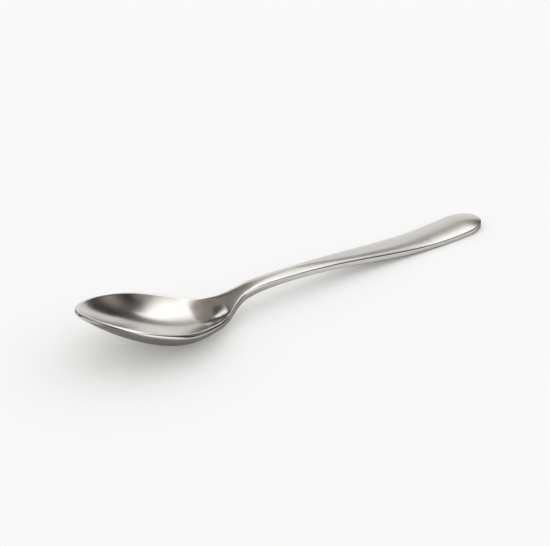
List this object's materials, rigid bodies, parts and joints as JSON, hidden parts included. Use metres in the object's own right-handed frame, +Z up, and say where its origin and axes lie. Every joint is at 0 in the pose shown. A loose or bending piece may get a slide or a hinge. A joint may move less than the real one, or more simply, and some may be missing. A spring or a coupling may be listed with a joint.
{
  "type": "dinner spoon",
  "caption": "Steel table spoon with an egg-shaped bowl, a narrow neck and an arched handle with a crowned top, flat side walls and a rounded end.",
  "frame": {"origin": "on the table, under the middle of the spoon's length and width, with the spoon resting on its bowl and handle", "axes": "+X from the tip of the bowl towards the end of the handle, +Y across the spoon, +Z up from the table"},
  "size_m": [0.1952, 0.0426, 0.0236],
  "materials": {
    "bowl_steel": "polished stainless steel with fine wear lines",
    "weld_steel": "ground and polished flush",
    "handle_steel": "satin stainless steel, brushed along its length"
  },
  "bodies": {
    "root": {"bowl": "bowl_steel", "neck_weld": "weld_steel", "handle": "handle_steel"}
  },
  "joints": []
}
